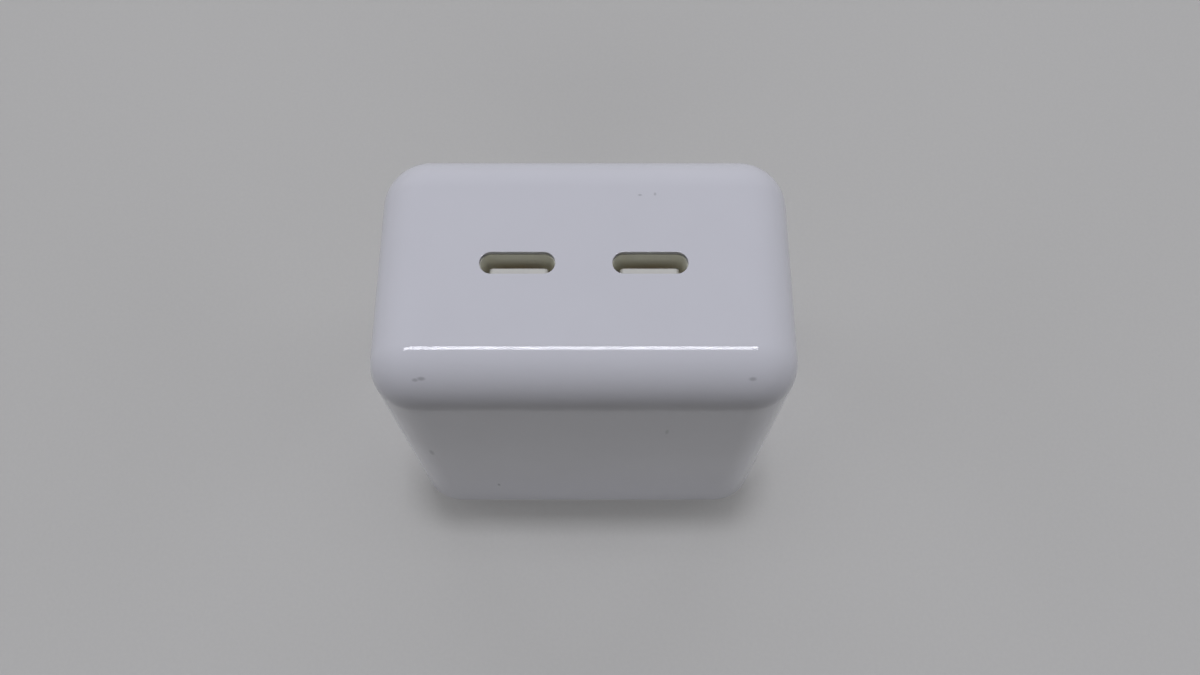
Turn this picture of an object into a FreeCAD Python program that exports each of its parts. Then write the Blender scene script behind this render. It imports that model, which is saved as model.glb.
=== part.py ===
"""Two-port USB-C power adapter with folding wall blades, in millimetres.

The adapter stands on its wall face, as it does on a table. z = 0 is the wall face and +Z runs up to the
port face. +X runs along the row of ports, and -Y is the long side nearest the viewer. The blades are
folded: they lie in their slots along X, edge-on in the wall face, and swing out about a rotor on Y.
"""

import FreeCAD, Part
import math
import os

import Sketcher

# Driving sizes

SIZES = [
    ("body_width", 48.0, "outside, along the row of ports"),
    ("body_depth", 31.0, "outside, across the ports"),
    ("body_height", 46.0, "wall face to port face"),
    ("edge_radius", 5.8, "upright corners and the edge round the port face"),
    ("inner_bevel", 1.4, "inside edge behind the port face"),
    ("rim_bevel", 0.3, "edge round the wall face"),
    ("wall", 2.0, "shell wall"),
    ("rim_wall", 1.2, "shell wall beside the wall plate"),
    ("seat_gap", 0.1, "wall plate to rim, all round"),
    ("plate_thickness", 2.2, "wall plate"),
    ("port_pitch", 14.8, "between the two ports"),
    ("port_width", 8.34, "inside the receptacle, long way"),
    ("port_height", 2.56, "inside the receptacle, short way"),
    ("port_steel", 0.3, "receptacle sheet"),
    ("port_length", 8.0, "receptacle, front to back"),
    ("port_lip", 0.5, "shell wall left in front of a receptacle"),
    ("mouth_margin", 0.05, "shell mouth larger than the receptacle, each side"),
    ("mouth_bevel", 0.08, "edge of a mouth"),
    ("nose_gap", 0.1, "receptacle to its seat in the shell"),
    ("tongue_width", 6.69, "tongue, long way"),
    ("tongue_thickness", 0.7, "tongue, short way"),
    ("tongue_recess", 1.6, "tongue tip behind the receptacle front"),
    ("tongue_corner", 0.5, "corners of the tongue tip"),
    ("tongue_root", 2.6, "insulator block behind the tongue"),
    ("contact_pitch", 0.5, "between contacts on a tongue"),
    ("contact_width", 0.28, "one contact"),
    ("contact_skin", 0.06, "contact standing on the tongue"),
    ("leg_width", 1.0, "solder leg of a receptacle"),
    ("leg_pitch", 3.6, "between the two legs of one side"),
    ("leg_room", 0.15, "leg to its hole in the board"),
    ("board_thickness", 1.2, "circuit board"),
    ("board_gap", 0.5, "board to what lies beside its edges"),
    ("guide_depth", 1.5, "board guides on the shell wall"),
    ("guide_wall", 1.0, "one cheek of a guide"),
    ("guide_fit", 0.1, "board to a guide cheek"),
    ("blade_length", 16.5, "blade beyond the wall face, folded out"),
    ("blade_width", 6.35, "blade, broad side"),
    ("blade_thickness", 1.5, "blade, edge"),
    ("blade_pitch", 12.7, "between the two blades"),
    ("blade_neck", 3.6, "blade inside the rotor"),
    ("blade_inset", 0.35, "folded blade below the wall face"),
    ("blade_gap", 0.3, "blade to its slot"),
    ("tip_radius", 1.4, "corners of a blade tip"),
    ("tip_bevel", 0.45, "bevel of a blade tip"),
    ("hinge_offset", 6.0, "rotor axis from the middle of the wall face"),
    ("rotor_inset", 0.1, "rotor below the wall face"),
    ("rotor_cheek", 1.5, "rotor beside a blade"),
    ("rotor_gap", 0.25, "rotor to its chamber"),
    ("pivot_radius", 1.5, "rotor pivots"),
    ("pivot_fit", 0.05, "pivot in its bearing"),
    ("bearing_wall", 1.8, "chamber wall that carries a pivot"),
    ("rib", 1.0, "inner walls of the wall plate"),
    ("scoop_length", 7.6, "finger scoop, along the blades"),
    ("scoop_width", 20.4, "finger scoop, across the blades"),
    ("scoop_depth", 4.6, "finger scoop"),
    ("scoop_radius", 3.0, "corners of the finger scoop"),
    ("tip_reach", 3.2, "finger scoop beyond a blade tip"),
    ("cover_thickness", 1.4, "plug cover"),
    ("boss_radius", 1.7, "bosses under the plug cover"),
    ("stake_radius", 0.9, "stakes through the plug cover"),
    ("stake_head", 0.6, "melted head of a stake"),
    ("spring_sheet", 0.35, "spring strip"),
    ("spring_width", 3.5, "one spring"),
    ("spring_gap", 0.15, "spring to the rotor"),
    ("spring_window", 4.4, "window for a spring in the plug cover"),
    ("peg", 1.0, "square peg that holds a spring"),
    ("detent_depth", 0.5, "flats that hold the rotor at its stops"),
    ("spring_leg", 3.6, "leg of a contact spring on the board"),
    ("part_gap", 0.8, "between parts on the board"),
    ("part_lift", 0.1, "round part above the board"),
    ("winding_build", 1.4, "transformer winding, from bobbin outwards"),
    ("core_length", 15.0, "transformer core, up the board"),
    ("core_height", 12.0, "transformer core, off the board"),
    ("core_plate", 2.4, "transformer core plates and legs"),
    ("post_radius", 3.2, "middle post of the transformer core"),
    ("bobbin_wall", 0.7, "bobbin"),
    ("bulk_radius", 4.5, "input capacitors"),
    ("bulk_length", 16.0, "input capacitors"),
    ("lead", 0.6, "component leads"),
    ("film_length", 12.0, "film capacitor, along the board"),
    ("film_width", 9.0, "film capacitor, up the board"),
    ("film_height", 6.0, "film capacitor, off the board"),
    ("choke_radius", 5.0, "choke with its windings"),
    ("choke_bore", 1.8, "hole of the wound choke"),
    ("choke_height", 6.0, "choke with its windings"),
    ("choke_wire", 0.8, "winding round the choke core"),
    ("fuse_radius", 2.0, "fuse tube"),
    ("fuse_length", 8.5, "fuse"),
    ("rectifier_side", 6.0, "bridge rectifier"),
    ("rectifier_height", 1.6, "bridge rectifier"),
    ("disc_radius", 2.4, "disc capacitor"),
    ("disc_height", 3.0, "disc capacitor"),
    ("chip_side", 3.4, "port controllers"),
    ("chip_height", 0.9, "flat chips"),
    ("switch_width", 6.0, "power switches"),
    ("switch_length", 4.6, "power switches"),
    ("opto_height", 2.2, "optocoupler"),
    ("coil_side", 6.4, "output inductors"),
    ("coil_height", 4.0, "output inductors"),
    ("can_radius", 3.15, "output capacitors"),
    ("can_height", 8.4, "output capacitors"),
]
CONTACTS = 12

doc = FreeCAD.newDocument("power_adapter")
sheet = doc.addObject("Spreadsheet::Sheet", "Sizes")
for row, (alias, number, note) in enumerate(SIZES, 1):
    sheet.set(f"A{row}", note)
    sheet.set(f"B{row}", str(number))
    sheet.setAlias(f"B{row}", alias)
doc.recompute()


class Size:
    """A length that carries its expression in the sheet and, for sketching, its value."""

    def __init__(self, text, value):
        self.text = text
        self.value = value

    def __add__(self, other):
        other = as_size(other)
        return Size(f"({self.text} + {other.text})", self.value + other.value)

    def __sub__(self, other):
        other = as_size(other)
        return Size(f"({self.text} - {other.text})", self.value - other.value)

    def __mul__(self, factor):
        return Size(f"({self.text} * {factor})", self.value * factor)

    def __truediv__(self, divisor):
        return Size(f"({self.text} / {divisor})", self.value / divisor)

    def __neg__(self):
        return self * -1

    def leg(self, other):
        """The other short side of a right triangle with this hypotenuse."""
        square = f"{self.text} * {self.text} - {other.text} * {other.text}"
        return Size(f"sqrt({square})", math.sqrt(self.value**2 - other.value**2))


def as_size(amount):
    return amount if isinstance(amount, Size) else Size(str(amount), amount)


def size(alias):
    return Size(f"Sizes.{alias}", float(sheet.get(alias)))


ZERO = as_size(0)
S = {alias: size(alias) for alias, number, note in SIZES}

# Derived places, shared by the pieces that meet there

half_width = S["body_width"] / 2
half_depth = S["body_depth"] / 2
cavity_x = half_width - S["wall"]
cavity_y = half_depth - S["wall"]
cavity_top = S["body_height"] - S["wall"]

shell_width = S["port_width"] + S["port_steel"] * 2
shell_height = S["port_height"] + S["port_steel"] * 2
port_front = S["body_height"] - S["port_lip"] - S["nose_gap"]
port_back = port_front - S["port_length"]

hinge_x = S["hinge_offset"]
hinge_z = S["blade_width"] / 2 + S["blade_inset"]
rotor_radius = hinge_z - S["rotor_inset"]
rotor_end = S["blade_pitch"] / 2 + S["blade_thickness"] / 2 + S["rotor_cheek"]
chamber_x = rotor_radius + S["rotor_gap"]
chamber_y = rotor_end + S["rotor_gap"]
bearing_end = chamber_y + S["bearing_wall"]
blade_tip = hinge_x - hinge_z - S["blade_length"]
slot_end = blade_tip - S["blade_gap"] * 2
slot_half = S["blade_thickness"] / 2 + S["blade_gap"]
scoop_low = blade_tip - S["tip_reach"]
scoop_high = scoop_low + S["scoop_length"]
cover_low = hinge_z + rotor_radius + S["rotor_gap"]
cover_top = cover_low + S["cover_thickness"]
slot_roof = cover_low
block_x = chamber_x + S["rib"]
stake_x = block_x + S["boss_radius"] - S["rib"] / 2
stakes = [hinge_x - stake_x, hinge_x + stake_x]
window_half = S["spring_window"] / 2
spring_root = stake_x - S["stake_radius"] - S["stake_head"] - S["seat_gap"]
peg_x = (window_half + spring_root) / 2
# Each spring's place along the rotor, and the side of its window that it is fixed on
springs = {
    "contact_spring_left": (-S["blade_pitch"] / 2, 1),
    "detent_spring": (ZERO, -1),
    "contact_spring_right": (S["blade_pitch"] / 2, 1),
}

board_front = shell_height / 2
board_back = board_front + S["board_thickness"]
board_x = cavity_x - S["guide_fit"]
board_low = cover_top + S["spring_sheet"] + S["board_gap"]
board_top = cavity_top - S["board_gap"]
guide_x = cavity_x - S["guide_depth"]
guide_low = board_low + S["spring_leg"]
parts_x = guide_x - S["part_gap"]
row_low = board_low + S["part_gap"] * 2
row_back = guide_low + S["part_gap"]
row_middle = row_back + S["choke_radius"] * 2 + S["part_gap"]
row_top = board_top - S["part_gap"]

# Sketches and features

NORMAL = {"XY": 1, "XZ": -1, "YZ": 1}
PIECES = []


def keep(item, label):
    """Names a finished piece. Its label is also its file's name."""
    item.Label = label
    PIECES.append(item)
    return item


def bind(item, prop, amount):
    item.setExpression(prop, as_size(amount).text)


def new_body(label):
    return keep(doc.addObject("PartDesign::Body", label.title().replace("_", "")), label)


def sketch(body, name, plane="XY", offset=ZERO):
    """An empty sketch on one of the body's own origin planes, moved along that plane's axis."""
    item = body.newObject("Sketcher::SketchObject", name)
    role = plane + "_Plane"
    support = next(f for f in body.Origin.OriginFeatures if f.Role == role)
    item.AttachmentSupport = (support, [""])
    item.MapMode = "FlatFace"
    bind(item, "AttachmentOffset.Base.z", offset * NORMAL[plane])
    return item, NORMAL[plane]


def fix(item, geometry, vertex, axis, amount):
    """A dimension from the sketch's origin, tied to the sheet."""
    distance = Sketcher.Constraint("Distance" + axis, -1, 1, geometry, vertex, amount.value)
    index = item.addConstraint(distance)
    name = f"{axis}{geometry}_{vertex}"
    item.renameConstraint(index, name)
    bind(item, "Constraints." + name, amount)


def outline(drawing, corners):
    """A closed outline of corners (x, y). A corner (x, y, cx, cy) starts an arc about (cx, cy).

    Arcs run counterclockwise. An arc's end takes one dimension: its centre and start give its radius.
    """
    item, normal = drawing
    corners = [tuple(as_size(c) for c in corner) for corner in corners]
    count = len(corners)
    first = item.GeometryCount
    for here, there in zip(corners, corners[1:] + corners[:1]):
        start = FreeCAD.Vector(here[0].value, here[1].value, 0)
        end = FreeCAD.Vector(there[0].value, there[1].value, 0)
        if len(here) == 2:
            item.addGeometry(Part.LineSegment(start, end), False)
            continue
        centre = FreeCAD.Vector(here[2].value, here[3].value, 0)
        circle = Part.Circle(centre, FreeCAD.Vector(0, 0, 1), (start - centre).Length)
        angles = [math.atan2(p.y - centre.y, p.x - centre.x) for p in (start, end)]
        item.addGeometry(Part.ArcOfCircle(circle, *angles), False)
    for step in range(count):
        here, there = first + step, first + (step + 1) % count
        item.addConstraint(Sketcher.Constraint("Coincident", here, 2, there, 1))
    for step, corner in enumerate(corners):
        before = corners[step - 1]
        if len(before) == 4:
            across = abs(corner[0].value - before[2].value)
            along = abs(corner[1].value - before[3].value)
            axes = "X" if along > across else "Y"
        else:
            axes = "XY"
        for axis in axes:
            fix(item, first + step, 1, axis, corner["XY".index(axis)])
        if len(corner) == 4:
            fix(item, first + step, 3, "X", corner[2])
            fix(item, first + step, 3, "Y", corner[3])
    return drawing


def rectangle(drawing, x0, x1, y0, y1):
    return outline(drawing, [(x0, y0), (x1, y0), (x1, y1), (x0, y1)])


def rounded_rectangle(drawing, x0, x1, y0, y1, radius):
    r = radius
    return outline(
        drawing,
        [
            (x0 + r, y0),
            (x1 - r, y0, x1 - r, y0 + r),
            (x1, y0 + r),
            (x1, y1 - r, x1 - r, y1 - r),
            (x1 - r, y1),
            (x0 + r, y1, x0 + r, y1 - r),
            (x0, y1 - r),
            (x0, y0 + r, x0 + r, y0 + r),
        ],
    )


def stadium(drawing, centre_x, width, height):
    """A slot with round ends, long along x and centred on y = 0."""
    straight, r = (width - height) / 2, height / 2
    left, right = centre_x - straight, centre_x + straight
    return outline(drawing, [(left, -r), (right, -r, right, ZERO), (right, r), (left, r, left, ZERO)])


def circle(drawing, x, y, radius):
    item, normal = drawing
    x, y = as_size(x), as_size(y)
    centre = FreeCAD.Vector(x.value, y.value, 0)
    index = item.addGeometry(Part.Circle(centre, FreeCAD.Vector(0, 0, 1), radius.value), False)
    fix(item, index, 3, "X", x)
    fix(item, index, 3, "Y", y)
    name = f"radius{index}"
    item.renameConstraint(item.addConstraint(Sketcher.Constraint("Radius", index, radius.value)), name)
    bind(item, "Constraints." + name, radius)
    return drawing


def pad(body, name, drawing, length, toward=1):
    """Material from the sketch along its axis, toward + or -."""
    profile, normal = drawing
    item = body.newObject("PartDesign::Pad", name)
    item.Profile = profile
    item.Reversed = toward * normal < 0
    bind(item, "Length", length)
    doc.recompute()
    return item


def pocket(body, name, drawing, length, toward=1):
    """A cut from the sketch along its axis, toward + or -. It has to take something away."""
    before = body.Shape.Volume
    profile, normal = drawing
    item = body.newObject("PartDesign::Pocket", name)
    item.Profile = profile
    item.Reversed = toward * normal > 0
    bind(item, "Length", length)
    doc.recompute()
    if not body.Shape.Volume < before:
        raise ValueError(f"{name} cuts nothing from {body.Label}")
    return item


def dress(body, kind, name, amount, chosen):
    """A Fillet or Chamfer on the body's edges that the test chosen(edge) picks."""
    base = body.Tip
    edges = [f"Edge{i}" for i, edge in enumerate(base.Shape.Edges, 1) if chosen(edge)]
    item = body.newObject("PartDesign::" + kind, name)
    item.Base = (base, edges)
    bind(item, "Radius" if kind == "Fillet" else "Size", amount)
    doc.recompute()
    return item


NEAR = 1e-4


def at_height(height):
    """Picks the edges that lie in one horizontal plane."""
    z = height.value
    return lambda edge: abs(edge.BoundBox.ZMin - z) < NEAR and abs(edge.BoundBox.ZMax - z) < NEAR


def upright(edge):
    box = edge.BoundBox
    return box.ZLength > NEAR and box.XLength < NEAR and box.YLength < NEAR


# Plain solids and joins

V = FreeCAD.Vector
TURN = {
    "x": FreeCAD.Rotation(V(0, 1, 0), 90),
    "y": FreeCAD.Rotation(V(1, 0, 0), -90),
    "z": FreeCAD.Rotation(),
}


def put(item, corner):
    for axis, amount in zip("xyz", corner):
        bind(item, "Placement.Base." + axis, amount)
    return item


def block(low, high):
    """A block between two opposite corners."""
    item = doc.addObject("Part::Box", "Block")
    for side, a, b in zip(("Length", "Width", "Height"), low, high):
        bind(item, side, as_size(b) - a)
    return put(item, low)


def rod(start, along, radius, length):
    """A cylinder from a point along +x, +y or +z."""
    item = doc.addObject("Part::Cylinder", "Rod")
    item.Placement = FreeCAD.Placement(V(), TURN[along])
    bind(item, "Radius", radius)
    bind(item, "Height", length)
    return put(item, start)


def fuse(*items):
    item = doc.addObject("Part::MultiFuse", "Joined")
    item.Shapes = list(items)
    item.Refine = True
    return item


def cut(base, *tools):
    item = doc.addObject("Part::Cut", "Trimmed")
    item.Base = base
    item.Tool = tools[0] if len(tools) == 1 else fuse(*tools)
    item.Refine = True
    return item


def group(*items):
    item = doc.addObject("Part::Compound", "Group")
    item.Links = list(items)
    return item


# Housing


def housing_shell():
    """One moulding: port face, four walls, mouths and seats for the receptacles, guides for the board."""
    body = new_body("housing_shell")
    plan = sketch(body, "Outline")
    rectangle(plan, -half_width, half_width, -half_depth, half_depth)
    pad(body, "Block", plan, S["body_height"])
    port_face = at_height(S["body_height"])
    dress(body, "Fillet", "OuterEdges", S["edge_radius"], lambda e: upright(e) or port_face(e))
    inside = sketch(body, "CavityOutline")
    rounded_rectangle(inside, -cavity_x, cavity_x, -cavity_y, cavity_y, S["edge_radius"] - S["wall"])
    pocket(body, "Cavity", inside, cavity_top)
    dress(body, "Chamfer", "CavityEdge", S["inner_bevel"], at_height(cavity_top))

    seat_x, seat_y = half_width - S["rim_wall"], half_depth - S["rim_wall"]
    seat = sketch(body, "SeatOutline")
    rounded_rectangle(seat, -seat_x, seat_x, -seat_y, seat_y, S["edge_radius"] - S["rim_wall"])
    pocket(body, "PlateSeat", seat, S["plate_thickness"])

    def outer_rim(edge):
        if not at_height(ZERO)(edge):
            return False
        if edge.Curve.TypeId == "Part::GeomCircle":
            return abs(edge.Curve.Radius - S["edge_radius"].value) < NEAR
        middle = edge.BoundBox.Center
        inside = half_width.value - abs(middle.x), half_depth.value - abs(middle.y)
        return min(inside) < NEAR

    dress(body, "Chamfer", "RimEdge", S["rim_bevel"], outer_rim)

    ribs = sketch(body, "GuideOutline", "XY", guide_low)
    grooves = sketch(body, "GrooveOutline", "XY", guide_low)
    for side in (-1, 1):
        across = sorted((guide_x * side, cavity_x * side), key=lambda x: x.value)
        rectangle(ribs, *across, board_front - S["guide_wall"], board_back + S["guide_wall"])
        rectangle(grooves, *across, board_front - S["guide_fit"], board_back + S["guide_fit"])
    pad(body, "BoardGuides", ribs, cavity_top - guide_low)
    pocket(body, "BoardGrooves", grooves, board_top + S["guide_fit"] - guide_low)

    mouths = sketch(body, "MouthOutline", "XY", S["body_height"])
    seats = sketch(body, "PortSeatOutline", "XY", cavity_top)
    margin, nose = S["mouth_margin"] * 2, S["nose_gap"] * 2
    for side in (-1, 1):
        stadium(mouths, S["port_pitch"] / 2 * side, S["port_width"] + margin, S["port_height"] + margin)
        stadium(seats, S["port_pitch"] / 2 * side, shell_width + nose, shell_height + nose)
    pocket(body, "PortMouths", mouths, S["wall"], toward=-1)
    pocket(body, "PortSeats", seats, S["wall"] - S["port_lip"])
    mouth_reach = shell_height.value / 2

    def mouth_edge(edge):
        return port_face(edge) and abs(edge.BoundBox.Center.y) < mouth_reach

    dress(body, "Chamfer", "MouthEdge", S["mouth_bevel"], mouth_edge)


# Folding plug


def wall_plate():
    """The end cover: blade slots, rotor chamber with open bearings, finger scoop, stakes for the lid."""
    body = new_body("wall_plate")
    plate_x = half_width - S["rim_wall"] - S["seat_gap"]
    plate_y = half_depth - S["rim_wall"] - S["seat_gap"]
    plate = sketch(body, "PlateOutline")
    corner = S["edge_radius"] - S["rim_wall"] - S["seat_gap"]
    rounded_rectangle(plate, -plate_x, plate_x, -plate_y, plate_y, corner)
    pad(body, "Plate", plate, S["plate_thickness"])

    chamber = sketch(body, "ChamberOutline")
    rectangle(chamber, hinge_x - block_x, hinge_x + block_x, -bearing_end, bearing_end)
    pad(body, "ChamberWalls", chamber, cover_low)
    troughs = sketch(body, "TroughOutline")
    for side in (-1, 1):
        middle, reach = S["blade_pitch"] / 2 * side, slot_half + S["rib"]
        rectangle(troughs, slot_end - S["rib"], hinge_x - block_x, middle - reach, middle + reach)
    pad(body, "Troughs", troughs, slot_roof + S["rib"])
    scoop_x, scoop_y = (scoop_low, scoop_high), S["scoop_width"] / 2
    dish = sketch(body, "DishOutline")
    outer = S["scoop_radius"] + S["rib"]
    rounded_rectangle(
        dish, scoop_x[0] - S["rib"], scoop_x[1] + S["rib"], -scoop_y - S["rib"], scoop_y + S["rib"], outer
    )
    pad(body, "Dish", dish, S["scoop_depth"] + S["rib"])
    bosses = sketch(body, "BossOutline")
    pins = sketch(body, "PinOutline", "XY", cover_low)
    heads = sketch(body, "HeadOutline", "XY", cover_top)
    for x in stakes:
        circle(bosses, x, ZERO, S["boss_radius"])
        circle(pins, x, ZERO, S["stake_radius"])
        circle(heads, x, ZERO, S["stake_radius"] + S["stake_head"])
    pad(body, "Bosses", bosses, cover_low)
    pad(body, "Pins", pins, S["cover_thickness"])
    pad(body, "Heads", heads, S["stake_head"])

    window = sketch(body, "WindowOutline")
    rectangle(window, hinge_x - chamber_x, hinge_x + chamber_x, -chamber_y, chamber_y)
    pocket(body, "RotorChamber", window, cover_low)
    slots = sketch(body, "SlotOutline")
    for side in (-1, 1):
        middle = S["blade_pitch"] / 2 * side
        rectangle(slots, slot_end, hinge_x, middle - slot_half, middle + slot_half)
    pocket(body, "BladeSlots", slots, slot_roof)
    bearing = S["pivot_radius"] + S["pivot_fit"]
    saddle = sketch(body, "SaddleOutline", "XZ", -bearing_end)
    left, right = hinge_x - bearing, hinge_x + bearing
    half_round = (left, hinge_z, hinge_x, hinge_z)
    outline(saddle, [half_round, (right, hinge_z), (right, cover_low), (left, cover_low)])
    pocket(body, "Bearings", saddle, bearing_end * 2)
    scoop = sketch(body, "ScoopOutline")
    rounded_rectangle(scoop, *scoop_x, -scoop_y, scoop_y, S["scoop_radius"])
    pocket(body, "FingerScoop", scoop, S["scoop_depth"])


def plug_cover():
    """The inner lid of the rotor chamber: it holds the pivots down and carries the three springs."""
    body = new_body("plug_cover")
    plan = sketch(body, "CoverOutline", "XY", cover_low)
    rectangle(plan, hinge_x - block_x, hinge_x + block_x, -bearing_end, bearing_end)
    pad(body, "Lid", plan, S["cover_thickness"])
    ears = sketch(body, "EarOutline", "XY", cover_low)
    holes = sketch(body, "StakeHoleOutline", "XY", cover_low)
    for x in stakes:
        circle(ears, x, ZERO, S["boss_radius"])
        circle(holes, x, ZERO, S["stake_radius"] + S["pivot_fit"])
    pad(body, "Ears", ears, S["cover_thickness"])
    pocket(body, "StakeHoles", holes, S["cover_thickness"])
    feet = sketch(body, "FootOutline", "XY", cover_low)
    foot_x = S["pivot_radius"] - S["pivot_fit"]
    for low, high in ((-bearing_end, -chamber_y), (chamber_y, bearing_end)):
        rectangle(feet, hinge_x - foot_x, hinge_x + foot_x, low, high)
    pad(body, "PivotFeet", feet, cover_low - hinge_z - S["pivot_radius"] - S["pivot_fit"], toward=-1)
    windows = sketch(body, "SpringWindowOutline", "XY", cover_low)
    pegs = sketch(body, "PegOutline", "XY", cover_top)
    reach = S["spring_width"] / 2 + S["rotor_gap"]
    for y, toward in springs.values():
        rectangle(windows, hinge_x - window_half, hinge_x + window_half, y - reach, y + reach)
        peg(pegs, y, toward)
    pocket(body, "SpringWindows", windows, S["cover_thickness"])
    pad(body, "Pegs", pegs, S["spring_sheet"])


def blade_outline(drawing):
    """A folded blade from the side: broad up to the rotor, then a neck that ends flush with the rotor."""
    shoulder = hinge_x - rotor_radius
    broad, neck = S["blade_width"] / 2, S["blade_neck"] / 2
    end = hinge_x + rotor_radius.leg(neck)
    return outline(
        drawing,
        [
            (blade_tip, hinge_z - broad),
            (shoulder, hinge_z - broad),
            (shoulder, hinge_z - neck),
            (end, hinge_z - neck, hinge_x, hinge_z),
            (end, hinge_z + neck),
            (shoulder, hinge_z + neck),
            (shoulder, hinge_z + broad),
            (blade_tip, hinge_z + broad),
        ],
    )


def plug_rotor():
    """The moulded carrier of both blades, with a pivot at each end and two flats for the detent.

    It is a round bar with one square corner: a flat face closes the window in the wall face both ways.
    """
    body = new_body("plug_rotor")
    side, under = hinge_x - rotor_radius, hinge_z - rotor_radius
    section = sketch(body, "Section", "XZ", -rotor_end)
    outline(section, [(hinge_x, under, hinge_x, hinge_z), (side, hinge_z), (side, under)])
    pad(body, "Bar", section, rotor_end * 2)
    pivots = sketch(body, "PivotOutline", "XZ", -bearing_end)
    circle(pivots, hinge_x, hinge_z, S["pivot_radius"])
    pad(body, "Pivots", pivots, bearing_end * 2)
    for number, middle in ((1, -S["blade_pitch"] / 2), (2, S["blade_pitch"] / 2)):
        nest = sketch(body, f"NestOutline{number}", "XZ", middle - S["blade_thickness"] / 2)
        pocket(body, f"BladeNest{number}", blade_outline(nest), S["blade_thickness"])
    flat, beyond = rotor_radius - S["detent_depth"], rotor_radius + S["rotor_gap"]
    half = S["spring_width"] / 2 + S["rotor_gap"]
    flats = sketch(body, "DetentOutline", "XZ", -half)
    inner, outer = hinge_x + flat, hinge_x + beyond
    lower, upper = hinge_z + flat, hinge_z + beyond
    rectangle(flats, hinge_x - beyond, outer, lower, upper)
    pocket(body, "DetentTop", flats, half * 2)
    flats = sketch(body, "DetentSideOutline", "XZ", -half)
    rectangle(flats, inner, outer, hinge_z - beyond, upper)
    pocket(body, "DetentSide", flats, half * 2)


def blade(label, middle):
    """A plated brass blade with rounded and bevelled tip."""
    body = new_body(label)
    side = sketch(body, "SideOutline", "XZ", middle - S["blade_thickness"] / 2)
    pad(body, "Strip", blade_outline(side), S["blade_thickness"])

    def tip_corner(edge):
        box = edge.BoundBox
        return box.YLength > NEAR and box.XLength < NEAR and abs(box.XMin - blade_tip.value) < NEAR

    dress(body, "Fillet", "TipCorners", S["tip_radius"], tip_corner)

    def tip_edge(edge):
        box = edge.BoundBox
        return box.YLength < NEAR and box.XLength < NEAR and abs(box.XMin - blade_tip.value) < NEAR

    dress(body, "Chamfer", "TipBevel", S["tip_bevel"], tip_edge)


def peg(drawing, y, toward):
    """The square peg through a spring's foot, which keeps the leaf from turning."""
    x, half = hinge_x + peg_x * toward, S["peg"] / 2
    return rectangle(drawing, x - half, x + half, y - half, y + half)


def spring_profile(drawing, depth, toward):
    """A leaf on the cover that dips through its window: foot, slope, flat over the rotor, lifted tip."""
    sheet_up = S["spring_sheet"]
    bend, pad_half = window_half - S["seat_gap"] * 2, window_half / 4
    tip = window_half - S["seat_gap"] * 5
    low = cover_top - depth
    line = [
        (hinge_x + spring_root * toward, cover_top),
        (hinge_x + bend * toward, cover_top),
        (hinge_x + pad_half * toward, low),
        (hinge_x - pad_half * toward, low),
        (hinge_x - tip * toward, low + sheet_up),
    ]
    under = list(reversed(line))
    over = [(x, z + sheet_up) for x, z in line]
    return outline(drawing, under + over)


def contact_spring(label, side):
    """Takes the current from an unfolded blade's neck to the board: leaf, foot, wing and solder leg."""
    body = new_body(label)
    middle, toward = springs[label]
    leaf = sketch(body, "LeafOutline", "XZ", middle - S["spring_width"] / 2)
    rest = S["cover_thickness"] + S["rotor_gap"] - S["spring_gap"]
    pad(body, "Leaf", spring_profile(leaf, rest, toward), S["spring_width"])
    face = board_back if side > 0 else board_front
    wing = sketch(body, "WingOutline", "XY", cover_top)
    low, high = sorted((face, middle), key=lambda y: y.value)
    left, right = hinge_x + window_half, hinge_x + spring_root
    rectangle(wing, left, right, low, high)
    pad(body, "Wing", wing, S["spring_sheet"])
    leg = sketch(body, "LegOutline", "XY", cover_top)
    low, high = sorted((face, face + S["spring_sheet"] * side), key=lambda y: y.value)
    rectangle(leg, left, right, low, high)
    pad(body, "Leg", leg, S["spring_sheet"] + S["board_gap"] + S["spring_leg"])
    peg_hole(body, label)


def detent_spring():
    """The leaf that snaps over the rotor's flats and holds it folded or unfolded."""
    body = new_body("detent_spring")
    leaf = sketch(body, "LeafOutline", "XZ", -S["spring_width"] / 2)
    rest = S["cover_thickness"] + S["rotor_gap"] + S["detent_depth"] - S["spring_gap"]
    pad(body, "Leaf", spring_profile(leaf, rest, springs["detent_spring"][1]), S["spring_width"])
    peg_hole(body, "detent_spring")


def peg_hole(body, label):
    hole = sketch(body, "PegHoleOutline", "XY", cover_top)
    pocket(body, "PegHole", peg(hole, *springs[label]), S["spring_sheet"])


# Board and receptacles


def leg_places(centre):
    """Low corner and high corner, in x and z, of a receptacle's four solder legs."""
    reach = shell_width / 2
    first = port_back + S["leg_width"]
    for x0, x1 in ((-reach, S["port_steel"] - reach), (reach - S["port_steel"], reach)):
        for z in (first, first + S["leg_pitch"]):
            yield centre + x0, centre + x1, z, z + S["leg_width"]


def main_board():
    """One board in the middle of the housing: it slides up the guides until the ports seat."""
    body = new_body("main_board")
    plan = sketch(body, "BoardOutline", "XZ", board_front)
    rectangle(plan, -board_x, board_x, board_low, board_top)
    pad(body, "Board", plan, S["board_thickness"])

    def top_corner(edge):
        box = edge.BoundBox
        return box.YLength > NEAR and box.XLength < NEAR and at_height(board_top)(edge)

    dress(body, "Fillet", "TopCorners", S["edge_radius"] - S["wall"], top_corner)
    holes = sketch(body, "LegHoleOutline", "XZ", board_front)
    for side in (-1, 1):
        for x0, x1, z0, z1 in leg_places(S["port_pitch"] / 2 * side):
            room = S["leg_room"]
            rectangle(holes, x0 - room, x1 + room, z0 - room, z1 + room)
    pocket(body, "LegHoles", holes, S["board_thickness"])


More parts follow.
